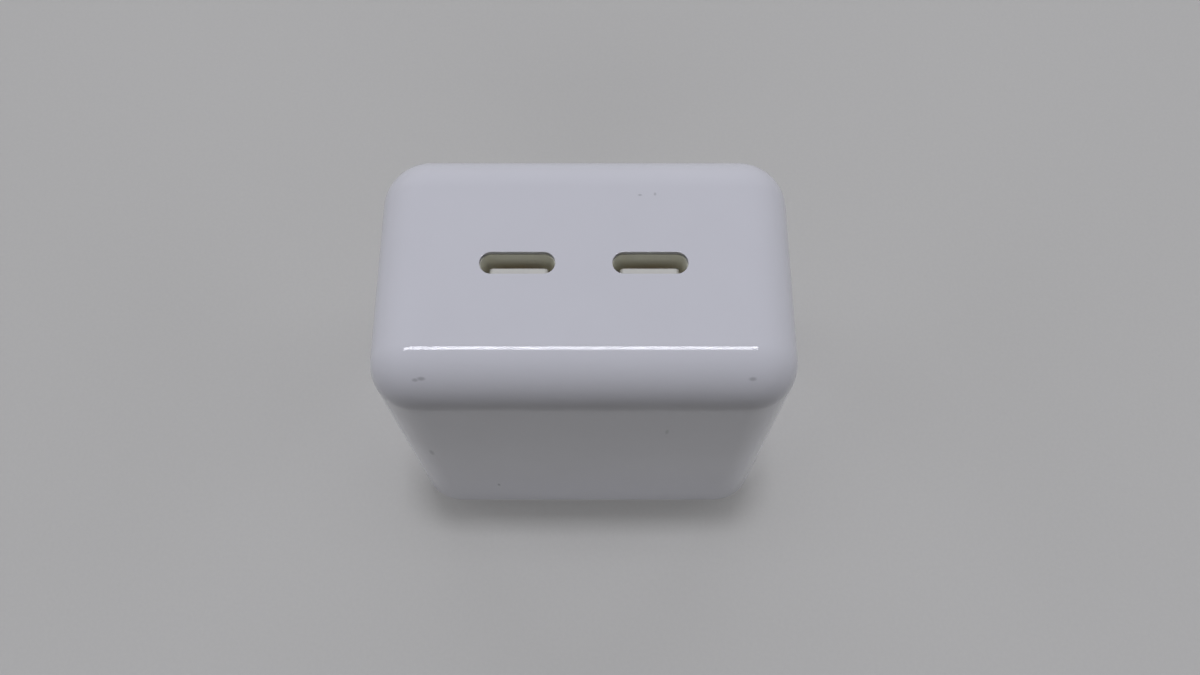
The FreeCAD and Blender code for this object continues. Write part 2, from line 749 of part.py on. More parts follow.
def port_shell(label, centre):
    """The receptacle's drawn steel tube with its solder legs."""
    body = new_body(label)
    tube = sketch(body, "TubeOutline", "XY", port_back)
    stadium(tube, centre, shell_width, shell_height)
    stadium(tube, centre, S["port_width"], S["port_height"])
    pad(body, "Tube", tube, S["port_length"])
    legs = sketch(body, "LegOutline", "XZ", ZERO)
    for x0, x1, z0, z1 in leg_places(centre):
        rectangle(legs, x0, x1, z0, z1)
    pad(body, "Legs", legs, board_back + S["board_gap"])


def port_tongue(label, centre):
    """The receptacle's moulded insulator: a block that closes the tube, and the tongue."""
    body = new_body(label)
    root = sketch(body, "RootOutline", "XY", port_back)
    stadium(root, centre, S["port_width"], S["port_height"])
    pad(body, "Root", root, S["tongue_root"])
    tongue = sketch(body, "TongueOutline", "XY", port_back)
    reach, thick = S["tongue_width"] / 2, S["tongue_thickness"] / 2
    rectangle(tongue, centre - reach, centre + reach, -thick, thick)
    tip = port_front - S["tongue_recess"]
    pad(body, "Tongue", tongue, tip - port_back)

    def tip_corner(edge):
        box = edge.BoundBox
        return abs(box.ZMin - tip.value) < NEAR and box.YLength > NEAR and box.XLength < NEAR

    dress(body, "Fillet", "TipCorners", S["tongue_corner"], tip_corner)


def port_contacts(label, centre):
    """Gilded strips on both faces of the tongue, and their tails on the board."""
    tip = port_front - S["tongue_recess"]
    thick, skin = S["tongue_thickness"] / 2, S["contact_skin"]
    low = port_back + S["tongue_root"]
    strips = []
    for number in range(CONTACTS):
        left = centre + S["contact_pitch"] * (number - (CONTACTS - 1) / 2) - S["contact_width"] / 2
        right = left + S["contact_width"]
        high = tip - S["tongue_thickness"]
        for near, far in ((thick, thick + skin), (-thick - skin, -thick)):
            strips.append(block((left, near, low), (right, far, high)))
        strips.append(block((left, -thick, port_back - S["port_steel"]), (right, board_front, port_back)))
    keep(group(*strips), label)


# Parts on the board


def on_board(side, low, high, x0, x1, z0, z1):
    """A block standing off the board between two heights, on the back (+1) or front (-1) face."""
    if side > 0:
        return block((x0, board_back + low, z0), (x1, board_back + high, z1))
    return block((x0, board_front - high, z0), (x1, board_front - low, z1))


def chip(label, side, x, z, width, length, height, legs=0):
    """A moulded package centred on (x, z), with a row of legs along its two long sides."""
    x0, x1, z0, z1 = x - width / 2, x + width / 2, z - length / 2, z + length / 2
    items = [on_board(side, ZERO, height, x0, x1, z0, z1)]
    for number in range(legs):
        middle = z0 + length * ((number + 0.5) / legs)
        foot = (middle - S["lead"] / 2, middle + S["lead"] / 2)
        items.append(on_board(side, ZERO, height / 2, x0 - S["lead"], x1 + S["lead"], *foot))
    keep(fuse(*items) if legs else items[0], label)


def transformer():
    """A plate-and-post ferrite core, a bobbin on its post and the winding between its flanges."""
    high = port_back - S["part_gap"]
    low = high - S["core_length"]
    middle = (high + low) / 2
    legs, clear = S["core_plate"], S["part_lift"]
    tube = S["post_radius"] + S["bobbin_wall"]
    wound = tube + S["winding_build"]
    flange = wound + clear * 2
    half = flange + clear + legs
    inner = S["core_height"] - legs
    box = on_board(-1, ZERO, S["core_height"], -half, half, low, high)
    window = on_board(-1, legs, inner, legs - half, half - legs, low, high)
    gap = S["core_height"] - legs * 2
    start = board_front - inner
    post = rod((ZERO, start, middle), "y", S["post_radius"], gap)
    keep(fuse(cut(box, window), post), "transformer_core")
    spool = [rod((ZERO, start, middle), "y", tube, gap)]
    for low_y in (start, board_front - legs - S["bobbin_wall"]):
        near = (-flange, low_y, middle - flange)
        far = (flange, low_y + S["bobbin_wall"], middle + flange)
        spool.append(block(near, far))
    bore = rod((ZERO, start, middle), "y", S["post_radius"], gap)
    keep(cut(fuse(*spool), bore), "transformer_bobbin")
    first = start + S["bobbin_wall"]
    turns = gap - S["bobbin_wall"] * 2
    coil = rod((ZERO, first, middle), "y", wound, turns)
    keep(cut(coil, rod((ZERO, first, middle), "y", tube, turns)), "transformer_winding")


def bulk_capacitor(label, side):
    """An electrolytic can lying along the board, with two leads bent to the board."""
    body = new_body(label)
    r, bead = S["bulk_radius"], S["lead"]
    x = (cavity_x - S["part_gap"] - r) * side
    y = board_front - S["part_lift"] - r
    low = row_low + S["part_gap"] + bead * 3
    can = sketch(body, "CanOutline", "XY", low)
    pad(body, "Can", circle(can, x, y, r), S["bulk_length"])
    for number, turn in ((1, -1), (2, 1)):
        middle = x + r / 2 * turn
        lead = sketch(body, f"LeadOutline{number}", "YZ", middle - bead / 2)
        near, bottom = y + bead / 2, low - bead * 3
        outline(
            lead,
            [
                (y - bead / 2, bottom),
                (board_front, bottom),
                (board_front, bottom + bead),
                (near, bottom + bead),
                (near, low),
                (y - bead / 2, low),
            ],
        )
        pad(body, f"Lead{number}", lead, bead)


def film_capacitor():
    """A boxed film capacitor across the mains."""
    low, left = row_back, -parts_x
    body = new_body("film_capacitor")
    plan = sketch(body, "BoxOutline", "XZ", board_back)
    rectangle(plan, left, left + S["film_length"], low, low + S["film_width"])
    pad(body, "Box", plan, S["film_height"])
    far = (board_back + S["film_height"]).value
    dress(body, "Fillet", "BoxEdge", S["lead"], lambda e: e.BoundBox.YMin > far - NEAR)


def choke():
    """A toroid lying on the board with two windings, each over part of the ring."""
    x, z = parts_x - S["choke_radius"], row_back + S["choke_radius"]
    wire, start = S["choke_wire"], board_back + S["part_lift"]
    outer, inner = S["choke_radius"] - wire, S["choke_bore"] + wire
    core_low, core_height = start + wire, S["choke_height"] - wire * 2
    bore = rod((x, core_low, z), "y", inner, core_height)
    keep(cut(rod((x, core_low, z), "y", outer, core_height), bore), "choke_core")
    gap, reach = S["choke_bore"] - S["part_lift"] * 2, S["choke_radius"]
    wound = cut(
        rod((x, start, z), "y", reach, S["choke_height"]),
        rod((x, start, z), "y", S["choke_bore"], S["choke_height"]),
        rod((x, core_low, z), "y", outer, core_height),
        block((x - reach, start, z - gap), (x + reach, start + S["choke_height"], z + gap)),
    )
    keep(wound, "choke_windings")


def fuse_link():
    """A ceramic tube fuse with a solder foot under each end."""
    high = hinge_x - spring_root - S["part_gap"]
    low = high - S["fuse_length"]
    r, foot = S["fuse_radius"], S["fuse_length"] / 4
    y, z = board_front - S["part_lift"] - r, row_low + r
    tube = rod((low, y, z), "x", r, S["fuse_length"])
    feet = [
        on_board(-1, ZERO, r, start, start + foot, z - S["lead"] / 2, z + S["lead"] / 2)
        for start in (low, high - foot)
    ]
    keep(fuse(tube, *feet), "fuse")


def disc_capacitor():
    """A dipped ceramic disc between the mains side and the output side."""
    z = row_middle + S["disc_radius"]
    keep(rod((ZERO, board_back, z), "y", S["disc_radius"], S["disc_height"]), "disc_capacitor")


def output_parts():
    """For each port a filter inductor, a polymer can and a controller, in the row under the port face."""
    coil, can, chip_side = S["coil_side"], S["can_radius"], S["chip_side"]
    for number, side in ((1, -1), (2, 1)):
        x = S["port_pitch"] / 2 * side
        corner = (x - coil / 2, x + coil / 2, row_top - coil, row_top)
        keep(on_board(1, ZERO, S["coil_height"], *corner), f"output_inductor_{number}")
        x = (parts_x - can) * side
        z = row_top - can
        keep(rod((x, board_back, z), "y", can, S["can_height"]), f"output_capacitor_{number}")
        z = row_top - chip_side / 2 - (chip_side + S["part_gap"]) * (number - 1)
        chip(f"port_controller_{number}", 1, ZERO, z, chip_side, chip_side, S["chip_height"])


def power_chips():
    side = S["rectifier_side"]
    x = hinge_x - spring_root - S["part_gap"]
    z = row_back + side / 2
    chip("bridge_rectifier", 1, x - side / 2, z, side, side, S["rectifier_height"], legs=2)
    width, length = S["switch_width"], S["switch_length"]
    z = row_middle + length / 2
    edge = parts_x - S["lead"] - width / 2
    chip("primary_switch", 1, -edge, z, width, length, S["chip_height"], legs=4)
    chip("output_rectifier", 1, edge, z, width, length, S["chip_height"], legs=4)
    beside = (edge - width / 2 - S["lead"] + S["disc_radius"]) / 2
    chip("optocoupler", 1, beside, z, length, length, S["opto_height"], legs=2)


def build():
    housing_shell()
    wall_plate()
    plug_cover()
    plug_rotor()
    for name, side in (("left", -1), ("right", 1)):
        blade(f"blade_{name}", S["blade_pitch"] / 2 * side)
        contact_spring(f"contact_spring_{name}", side)
    detent_spring()
    main_board()
    for number, side in ((1, -1), (2, 1)):
        centre = S["port_pitch"] / 2 * side
        port_shell(f"port_{number}_shell", centre)
        port_tongue(f"port_{number}_tongue", centre)
        port_contacts(f"port_{number}_contacts", centre)
        bulk_capacitor(f"bulk_capacitor_{number}", side)
    transformer()
    film_capacitor()
    choke()
    fuse_link()
    disc_capacitor()
    power_chips()
    output_parts()
    doc.recompute()


def check():
    """Stops before anything is written if a feature failed or a piece has no sound shape."""
    failed = [o.Name for o in doc.Objects if "Invalid" in o.State or "Error" in o.State]
    unsound = [p.Label for p in PIECES if p.Shape.isNull() or not p.Shape.isValid() or not p.Shape.Solids]
    if failed or unsound:
        raise ValueError(f"failed features {failed}, unsound pieces {unsound}")


build()
check()
os.makedirs("parts", exist_ok=True)
for piece in PIECES:
    piece.Shape.exportStep(f"parts/{piece.Label}.step")
    print(f"{piece.Label}: {len(piece.Shape.Solids)} solids, {piece.Shape.Volume:.1f} mm3")
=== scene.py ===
# %% [markdown]
# # A two-port power adapter, dressed for its photograph
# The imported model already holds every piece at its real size, in metres, standing on its wall face.
# This lesson adds what the eye reads: the finish of each surface, the floor, the light and the camera.
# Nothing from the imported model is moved. New surfaces are worked out with numpy and laid over it.

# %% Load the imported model
import math

import bmesh
import bpy
import numpy as np
from mathutils import Euler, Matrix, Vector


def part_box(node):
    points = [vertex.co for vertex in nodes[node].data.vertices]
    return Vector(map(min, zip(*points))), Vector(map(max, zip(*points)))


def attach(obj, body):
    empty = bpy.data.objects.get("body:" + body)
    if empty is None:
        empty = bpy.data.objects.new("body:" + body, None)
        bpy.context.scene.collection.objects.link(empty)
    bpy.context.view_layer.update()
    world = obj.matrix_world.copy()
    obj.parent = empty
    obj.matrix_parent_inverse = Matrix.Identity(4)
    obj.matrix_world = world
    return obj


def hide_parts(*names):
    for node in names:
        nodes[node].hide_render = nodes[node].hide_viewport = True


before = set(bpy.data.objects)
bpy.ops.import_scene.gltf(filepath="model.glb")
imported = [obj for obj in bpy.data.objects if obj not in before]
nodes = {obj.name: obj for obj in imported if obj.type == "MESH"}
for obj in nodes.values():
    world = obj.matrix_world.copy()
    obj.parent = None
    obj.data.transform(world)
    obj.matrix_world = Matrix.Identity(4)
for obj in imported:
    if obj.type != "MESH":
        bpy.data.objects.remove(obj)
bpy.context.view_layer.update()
MM = 0.001

# %% [markdown]
# ## Colours and nodes
# A colour picked from a picture is an sRGB code, but a shader works with amounts of light, so each code
# is made linear once, here. Every material below is a few nodes wired together. One small function adds
# a node, sets its own properties, and fills each socket with a number or with another node's output.

# %% Two helpers for every material


def linear(code):
    """An sRGB hex code as linear RGBA: ((c + 0.055) / 1.055) ** 2.4, or c / 12.92 near black."""
    srgb = np.array([int(code[i : i + 2], 16) for i in (1, 3, 5)]) / 255
    rgb = np.where(srgb > 0.04045, ((srgb + 0.055) / 1.055) ** 2.4, srgb / 12.92)
    return (*rgb.tolist(), 1.0)


def add_node(tree, kind, inputs=None, **settings):
    """One node of a kind. A socket that is given an output is linked, and any other is set."""
    node = tree.nodes.new("ShaderNode" + kind)
    for name, value in settings.items():
        setattr(node, name, value)
    for socket, value in (inputs or {}).items():
        if isinstance(value, bpy.types.NodeSocket):
            tree.links.new(value, node.inputs[socket])
        else:
            node.inputs[socket].default_value = value
    return node


print("linear mid grey:", [round(v, 3) for v in linear("#808080")])

# %% [markdown]
# ## A common start for each finish
# Most moulded, plated or dipped surfaces differ from a flat colour in the same three ways: the colour
# drifts a little, the gloss drifts a little, and a fine grain tilts the surface. `finish` sets that up
# from the real size of the grain in millimetres. Object coordinates are in metres here, so a feature of
# g mm needs a noise scale of 1000 / g. The stretch draws the grain out along one axis, as rolling or
# drawing does to metal.

# %% The shared recipe
# The sockets of a Mix node that mixes colours: its two colours, and its result
COLOUR_A, COLOUR_B, MIXED = 6, 7, 2
NOISE_DETAIL = 3.0


def per_metre(size_mm):
    """The scale that turns metres into a feature's own size."""
    return 1 / (size_mm * MM)


def finish(name, dark, light, rough, grain, relief, stretch=(1, 1, 1), metal=0.0, ior=None):
    """A Principled surface: colour between two codes, gloss between two roughnesses, grain as bump.

    The grain's size and relief are in mm. A stretch below 1 draws the grain out along that axis.
    """
    material = bpy.data.materials.new(name)
    material.use_nodes = True
    tree = material.node_tree
    tree.nodes.clear()
    place = add_node(tree, "TexCoord").outputs["Object"]
    drawn = add_node(tree, "Mapping", {"Vector": place, "Scale": stretch}).outputs["Vector"]
    pattern = {"Vector": drawn, "Scale": per_metre(grain), "Detail": NOISE_DETAIL}
    drift = add_node(tree, "TexNoise", pattern).outputs["Fac"]
    blend = {"Factor": drift, COLOUR_A: linear(dark), COLOUR_B: linear(light)}
    colour = add_node(tree, "Mix", blend, data_type="RGBA").outputs[MIXED]
    gloss = {"Value": drift, "To Min": rough[0], "To Max": rough[1]}
    roughness = add_node(tree, "MapRange", gloss).outputs["Result"]
    height = {"Height": drift, "Distance": relief * MM, "Strength": 1.0}
    bump = add_node(tree, "Bump", height).outputs["Normal"]
    surface = {"Base Color": colour, "Roughness": roughness, "Normal": bump, "Metallic": metal}
    if ior:
        surface["IOR"] = ior
    shader = add_node(tree, "BsdfPrincipled", surface)
    add_node(tree, "OutputMaterial", {"Surface": shader.outputs["BSDF"]})
    return material


def paint(material, *names):
    """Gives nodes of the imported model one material."""
    for name in names:
        mesh = nodes[name].data
        mesh.materials.clear()
        mesh.materials.append(material)
    print(material.name, "on", ", ".join(names))


print("noise scale for a grain of 1 mm:", per_metre(1.0))

# %% [markdown]
# ## Surfaces from numpy
# Every new surface here is a grid of points: one index runs along a profile and the other along a path.
# The points are worked out as whole arrays, and the quads between them follow from their places in the
# grid. Several grids can share edges. Merging the points that coincide then closes them into one skin.

# %% From grids of points to a piece
SAME_PLACE = 1e-7
CREASE = math.radians(25)


def quads(rows, columns, closed):
    """Corner numbers of each quad in a grid. If closed, its last column is joined to its first."""
    index = np.arange(rows * columns).reshape(rows, columns)
    if closed:
        index = np.concatenate([index, index[:, :1]], axis=1)
    corners = [index[:-1, :-1], index[:-1, 1:], index[1:, 1:], index[1:, :-1]]
    return np.stack(corners, axis=-1).reshape(-1, 4)


def make_piece(name, grids, closed=True, material=None):
    """One mesh from grids of shape (rows, columns, 3), with faces outwards and creases kept."""
    first = np.cumsum([0] + [g.shape[0] * g.shape[1] for g in grids])
    points = np.concatenate([g.reshape(-1, 3) for g in grids])
    faces = np.concatenate([quads(*g.shape[:2], closed) + n for g, n in zip(grids, first)])
    mesh = bpy.data.meshes.new(name)
    mesh.from_pydata(points, [], faces)
    work = bmesh.new()
    work.from_mesh(mesh)
    bmesh.ops.remove_doubles(work, verts=work.verts, dist=SAME_PLACE)
    bmesh.ops.dissolve_degenerate(work, edges=work.edges, dist=SAME_PLACE)
    bmesh.ops.recalc_face_normals(work, faces=work.faces)
    open_edges = sum(not e.is_manifold for e in work.edges)
    work.to_mesh(mesh)
    work.free()
    mesh.shade_smooth()
    mesh.set_sharp_from_angle(angle=CREASE)
    piece = bpy.data.objects.new(name, mesh)
    bpy.context.scene.collection.objects.link(piece)
    if material:
        mesh.materials.append(material)
    print(name, len(mesh.polygons), "faces,", open_edges, "open edges")
    return piece


print("quads in a closed grid of 3 by 4 points:", len(quads(3, 4, True)))

# %% [markdown]
# ## The housing as a skin
# The housing is one moulding: a box with the same radius on its upright corners and round its port face.
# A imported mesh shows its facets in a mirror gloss, and the one bright line in the photograph lies just
# where the flat face turns into the edge. So the skin is drawn again, finely, with the same sizes. A
# profile goes over the edge, down the wall, round the rim and up inside, and it is carried round a
# rounded rectangle.

# %% Loops of the outline
half_x, half_y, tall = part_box("housing_shell")[1]
EDGE = 5.8 * MM
ARC_STEPS, LONG_STEPS, SHORT_STEPS = 24, 48, 44


def rounded_loops(inset):
    """The outline moved inwards by each inset: corner arcs of radius EDGE - inset, and straight runs.

    The result has shape (insets, points, 2). It starts in the middle of the front run, towards +x.
    """
    inset = np.atleast_1d(inset)[:, None]
    radius = np.maximum(EDGE - inset, 0)
    reach_x, reach_y = half_x - inset - radius, half_y - inset - radius
    arcs = []
    for quarter, (to_x, to_y) in enumerate(((1, -1), (1, 1), (-1, 1), (-1, -1))):
        angle = np.linspace(-0.5, 0, ARC_STEPS + 1) * math.pi + quarter * math.pi / 2
        x = to_x * reach_x + radius * np.cos(angle)
        y = to_y * reach_y + radius * np.sin(angle)
        arcs.append(np.stack([x, y], axis=-1))
    parts = []
    for arc, after, steps in zip(arcs, arcs[1:] + arcs[:1], (SHORT_STEPS, LONG_STEPS) * 2):
        share = (np.arange(1, steps) / steps)[:, None]
        parts += [arc, arc[:, -1:] * (1 - share) + after[:, :1] * share]
    loops = np.concatenate(parts, axis=1)
    return np.roll(loops, LONG_STEPS // 2, axis=1)


def with_height(loops, height):
    """Adds z to loops of (x, y): one height for each row."""
    z = np.broadcast_to(np.atleast_1d(height)[:, None, None], (*loops.shape[:2], 1))
    return np.concatenate([loops, z], axis=-1)


print("points in a loop:", rounded_loops(0.0).shape[1])

# %% The wall's profile, carried round
# The rim's rounding, the wall, the thinner wall beside the wall plate, and that plate's rebate
RIM, WALL, RIM_WALL, PLATE = 0.3 * MM, 2.0 * MM, 1.2 * MM, 2.2 * MM
# The bevel under the ceiling, and how near to a rounding the next row of points holds the shading
BEVEL, HOLD = 1.4 * MM, 0.12 * MM
EDGE_STEPS, RIM_STEPS = 32, 8


def rounded(radius, top, steps):
    """A quarter circle from a flat face at height top over to the wall, as (inset, height) pairs.

    inset = radius * (1 - sin t) and height = top - radius * (1 - cos t), for t up to a quarter turn.
    """
    turn = np.linspace(0, math.pi / 2, steps + 1)
    return np.stack([radius * (1 - np.sin(turn)), top - radius * (1 - np.cos(turn))], axis=-1)


ceiling = tall - WALL
over_edge = rounded(EDGE, tall, EDGE_STEPS)
down_wall = [(0, tall - EDGE - HOLD), (0, tall / 2), (0, RIM + HOLD)]
round_rim = rounded(RIM, 0, RIM_STEPS)[::-1] * (1, -1)
rebate = [(RIM_WALL, 0), (RIM_WALL, PLATE), (WALL, PLATE)]
up_inside = [(WALL, ceiling - BEVEL), (WALL + BEVEL, ceiling)]
profile = np.concatenate([over_edge, down_wall, round_rim, rebate, up_inside])
wall_grid = with_height(rounded_loops(profile[:, 0]), profile[:, 1])
print("wall grid:", wall_grid.shape)

# %% [markdown]
# The port face has two mouths, so it is cut down the middle into two halves with one mouth each. Around
# a mouth, rows of points lead from the half's border to the mouth's border. Each point of the mouth lies
# where the ray from its middle to a border point crosses a slot with round ends.

# %% Borders of a half and of its mouth
port_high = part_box("port_2_shell")[1]
tongue_low, tongue_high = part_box("port_2_tongue")
port_x = (tongue_low[0] + tongue_high[0]) / 2
# How far the mouth stands out from the tongue's block, and the steps of the cut down the middle
MOUTH_MARGIN, CENTRE_STEPS = 0.05 * MM, 72
mouth_radius = (tongue_high[1] - tongue_low[1]) / 2 + MOUTH_MARGIN
mouth_half = (tongue_high[0] - tongue_low[0]) / 2 + MOUTH_MARGIN
straight = mouth_half - mouth_radius


def half_border(inset):
    """The right half of the outline at one inset, closed by a straight run along x = 0."""
    loop = rounded_loops(inset)[0]
    half = loop[: len(loop) // 2 + 1]
    y = np.linspace(half[-1, 1], half[0, 1], CENTRE_STEPS + 1)[1:-1]
    return np.concatenate([half, np.stack([np.zeros_like(y), y], -1)])


def mouth_rows(border, offsets):
    """The mouth's border, widened by each offset, where rays from its middle to a border cross it.

    Along a ray (c, s), a straight side is radius / |s| away. A round end is straight * |c| away, plus
    the square root of radius squared minus (straight * s) squared.
    """
    ray = border - (port_x, 0)
    ray = ray / np.linalg.norm(ray, axis=1, keepdims=True)
    c, s = np.abs(ray[:, 0]), np.abs(ray[:, 1])
    on_side = mouth_radius * c <= straight * s
    to_end = straight * c + np.sqrt(np.maximum(mouth_radius**2 - (straight * s) ** 2, 0))
    far = np.where(on_side, mouth_radius / np.maximum(s, SAME_PLACE), to_end)
    point = ray * far[:, None]
    axis = np.stack([np.clip(point[:, 0], -straight, straight), np.zeros(len(point))], -1)
    outward = (point - axis) / mouth_radius
    return point + outward * np.atleast_1d(offsets)[:, None, None] + (port_x, 0)


print("mouth in mm:", round(2 * mouth_half / MM, 2), "by", round(2 * mouth_radius / MM, 2))

# %% Port face, mouths and ceiling
# The mouth's rounding, the wider seat of the receptacle behind it, and the gap above the receptacle
MOUTH_ROUND, SEAT, NOSE_GAP, LIP_STEPS = 0.08 * MM, 0.35 * MM, 0.1 * MM, 6
lip = tall - port_high[2] - NOSE_GAP
border = half_border(EDGE)
before_mouth = [(MOUTH_ROUND + HOLD, tall)]
down_mouth = [(0, tall - MOUTH_ROUND - HOLD), (0, tall - lip), (SEAT, tall - lip), (SEAT, ceiling)]
mouth = np.concatenate([before_mouth, rounded(MOUTH_ROUND, tall, LIP_STEPS), down_mouth])
flat_rows = np.stack([border, half_border(EDGE + HOLD)])
face_rows = np.concatenate([flat_rows, mouth_rows(border, mouth[:, 0])])
face_grid = with_height(face_rows, np.concatenate([[tall, tall], mouth[:, 1]]))
under_rows = np.concatenate([mouth_rows(border, SEAT), half_border(WALL + BEVEL)[None]])
ceiling_grid = with_height(under_rows, ceiling)
right_half = [face_grid, ceiling_grid]
left_half = [g * (-1, 1, 1) for g in right_half]
skin = make_piece("housing_skin", [wall_grid, *right_half, *left_half])
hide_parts("housing_shell")
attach(skin, "housing")

# %% [markdown]
# Inside, the same moulding has a guide on each side wall, where the board slides in: two cheeks, joined
# above the board by a stop. Each guide is one bar, bent twice. A section of four corners is carried up
# one cheek, across the stop and down the other cheek, and it is drawn together to a point at both feet.

# %% Board guides
board_low, board_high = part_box("main_board")
CHEEK, GUIDE_DEPTH, GUIDE_FIT, GUIDE_START = 0.9 * MM, 1.5 * MM, 0.1 * MM, 3.6 * MM


def bent_bar(outer, inner, near, far):
    """A closed bar along a path in y and z, from near to far along x.

    Each row is one point of the path: its outer and inner side at near, then its inner and outer side
    at far. The middle of the first and of the last row closes the ends.
    """
    sides = np.stack([outer, inner, inner, outer], axis=1)
    depths = np.array([near, near, far, far])[None, :, None]
    x = np.broadcast_to(depths, (*sides.shape[:2], 1))
    rows = np.concatenate([x, sides], axis=-1)
    middle = np.broadcast_to(rows.mean(axis=1, keepdims=True), rows.shape)
    return np.concatenate([middle[:1], rows, middle[-1:]])


wall_x = half_x - WALL
front, back = board_low[1] - GUIDE_FIT, board_high[1] + GUIDE_FIT
far_front, far_back = front - CHEEK, back + CHEEK
foot, stop = board_low[2] + GUIDE_START, board_high[2] + GUIDE_FIT
slot_side = [(front, foot), (front, stop), (back, stop), (back, foot)]
free_side = [(far_front, foot), (far_front, ceiling), (far_back, ceiling), (far_back, foot)]
guide = bent_bar(free_side, slot_side, wall_x - GUIDE_DEPTH, wall_x)
guides = make_piece("board_guides", [guide, guide * (-1, 1, 1)])
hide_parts("housing_shell")
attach(guides, "housing")

# %% [markdown]
# ## Glossy polycarbonate
# The housing is white polycarbonate, injection moulded in a polished steel tool. It gives a mirror-like
# skin with a trace of orange peel, a cool white body, and a few small marks where it has been handled.
# Three dark dashes on the front corners of the top edge are a painted reflection; the rest are marks.
# Each dash is the distance to a point at a real place on the housing, measured in the dash's own half
# sizes, so that 1 is its border.

# %% The housing's gloss
POLYCARBONATE_IOR = 1.585
gloss_white = finish(
    "polycarbonate_moulded_gloss", "#D0D0D5", "#D4D4D9",
    rough=(0.025, 0.045), grain=7.0, relief=0.0012, ior=POLYCARBONATE_IOR,
)
paint(gloss_white, "housing_shell")
skin.data.materials.append(gloss_white)
guides.data.materials.append(gloss_white)

# %% Marks, and a painted reflection
# Each mark: its place in mm, half its size along x, y and z in mm, and how dark it is
MARKS_AND_PAINTED_REFLECTIONS = [
    # The first three dashes are a painted reflection, dark, on the front corners of the top edge
    ((-18.05, -13.40, 44.67), (0.50, 0.30, 0.30), 0.32),
    ((-17.40, -13.29, 44.76), (0.65, 0.32, 0.32), 0.36),
    ((18.21, -13.32, 44.74), (0.60, 0.34, 0.34), 0.34),
    # The rest are small marks on the housing
    ((-19.18, -15.42, 24.12), (0.45, 0.50, 1.60), 0.30),
    ((-12.17, -15.50, 8.69), (0.28, 0.30, 0.90), 0.42),
    ((6.37, 8.64, 46.00), (0.34, 0.18, 0.20), 0.34),
    ((8.09, 8.77, 46.00), (0.22, 0.30, 0.20), 0.30),
    ((9.64, -15.50, 32.86), (0.30, 0.30, 1.30), 0.24),
]
SOFT_EDGE, DULLING = 0.2, 0.2
MARK_AND_REFLECTION_GREY = linear("#4A4A4E")


def darken_marks_and_paint_reflection(material, marks):
    """Darkens and dulls short dashes, marks and painted reflection alike: each is 1 - distance, smoothed,
    and the largest is kept.
    """
    tree = material.node_tree
    shader = next(n for n in tree.nodes if n.type == "BSDF_PRINCIPLED")
    place = add_node(tree, "TexCoord").outputs["Object"]
    marked_and_reflected = 0.0
    for centre, half, depth in marks:
        middle = [v * MM for v in centre]
        squeeze = [per_metre(v) for v in half]
        offset = add_node(tree, "VectorMath", {0: place, 1: middle}, operation="SUBTRACT").outputs[0]
        scaled = add_node(tree, "VectorMath", {0: offset, 1: squeeze}, operation="MULTIPLY").outputs[0]
        away = add_node(tree, "VectorMath", {0: scaled}, operation="LENGTH").outputs["Value"]
        fade = {"Value": away, "From Min": 1.0, "From Max": SOFT_EDGE, "To Max": depth}
        mark = add_node(tree, "MapRange", fade, interpolation_type="SMOOTHSTEP").outputs["Result"]
        marked_and_reflected = add_node(tree, "Math", {0: marked_and_reflected, 1: mark}, operation="MAXIMUM").outputs[0]
    clean_colour = shader.inputs["Base Color"].links[0].from_socket
    clean_rough = shader.inputs["Roughness"].links[0].from_socket
    blend = {"Factor": marked_and_reflected, COLOUR_A: clean_colour, COLOUR_B: MARK_AND_REFLECTION_GREY}
    colour = add_node(tree, "Mix", blend, data_type="RGBA").outputs[MIXED]
    dulled = {0: marked_and_reflected, 1: DULLING, 2: clean_rough}
    rough = add_node(tree, "Math", dulled, operation="MULTIPLY_ADD").outputs[0]
    tree.links.new(colour, shader.inputs["Base Color"])
    tree.links.new(rough, shader.inputs["Roughness"])


# Darkens the marks, and paints the dark reflection on the front corners of the top edge
darken_marks_and_paint_reflection(gloss_white, MARKS_AND_PAINTED_REFLECTIONS)
print("rubbed marks:", len(MARKS_AND_PAINTED_REFLECTIONS))

# %% [markdown]
# ## Satin polycarbonate
# The wall plate and the rotor are the same plastic from a spark-eroded tool, which leaves a fine even
# grain of about a tenth of a millimetre. That is too fine to show here, so it is drawn three times
# coarser.

# %% The wall plate and the plug's rotor
satin_white = finish(
    "polycarbonate_moulded_satin", "#CDCDD1", "#D3D3D7",
    rough=(0.30, 0.42), grain=0.3, relief=0.006, ior=POLYCARBONATE_IOR,
)
paint(satin_white, "wall_plate", "plug_rotor")

# %% [markdown]
# ## Plated and drawn metal
# The blades are stamped brass, nickel plated in a barrel: bright, a little warm, with rolling lines along
# the strip. The receptacles are deep-drawn stainless steel, dull inside, with lines along the draw. Such
# a skin scatters more than it mirrors, so it is only partly metallic here. The contacts are gilded. The
# springs are bare rolled strip: reddish bronze for the current, and grey steel for the detent.

# %% Blades and receptacles
nickel = finish(
    "nickel_barrel_plated", "#C2BEB5", "#D4D0C8",
    rough=(0.30, 0.42), grain=0.5, relief=0.003, stretch=(0.06, 1, 1), metal=1.0,
)
paint(nickel, "blade_left", "blade_right")
steel = finish(
    "stainless_steel_drawn", "#EEEEE4", "#F4F4EA",
    rough=(0.75, 0.9), grain=0.3, relief=0.003, stretch=(1, 1, 0.08), metal=0.6,
)
paint(steel, "port_1_shell", "port_2_shell")

